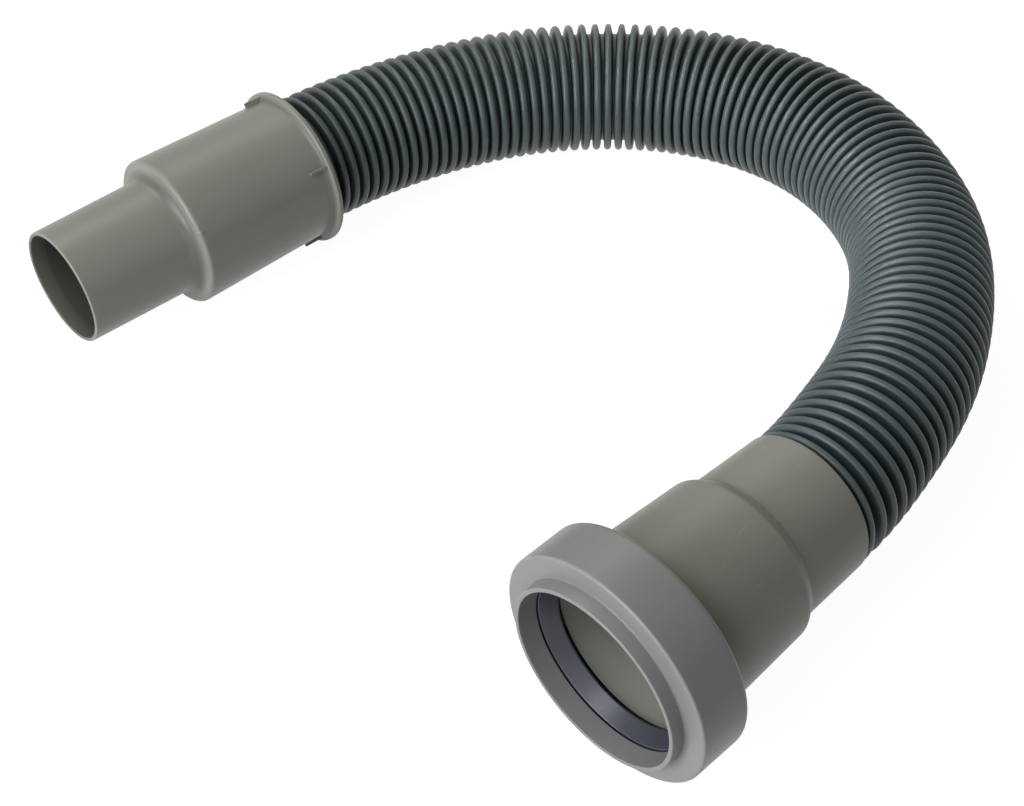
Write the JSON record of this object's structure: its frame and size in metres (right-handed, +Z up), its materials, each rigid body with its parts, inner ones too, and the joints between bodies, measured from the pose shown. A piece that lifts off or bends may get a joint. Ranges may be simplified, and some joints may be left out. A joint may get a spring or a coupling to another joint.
{
  "type": "flexible drain connector",
  "caption": "Corrugated drain hose bent into a U, with a stepped and flanged spigot adaptor at one end and a pipe socket with cap and lip seal at the other.",
  "frame": {"origin": "centre of the bounding box's bottom, on the surface that the part lies on", "axes": "+Z up from that surface; -X out of both mouths, along the socket's axis; +Y from the socket to the spigot adaptor"},
  "size_m": [0.2565, 0.2891, 0.0716],
  "materials": {
    "hose_slate": "dark slate-grey blow-moulded plastic with a soft sheen on the crests",
    "adaptor_grey": "greenish mid-grey moulded plastic, satin",
    "socket_grey": "warm mid-grey moulded plastic, satin",
    "cap_grey": "cooler mid-grey moulded plastic, satin",
    "seal_rubber": "dark blue-black rubber"
  },
  "bodies": {
    "root": {"corrugated_hose": "hose_slate", "spigot_adaptor": "adaptor_grey", "socket_body": "socket_grey", "retaining_cap": "cap_grey", "lip_seal": "seal_rubber"}
  },
  "joints": []
}
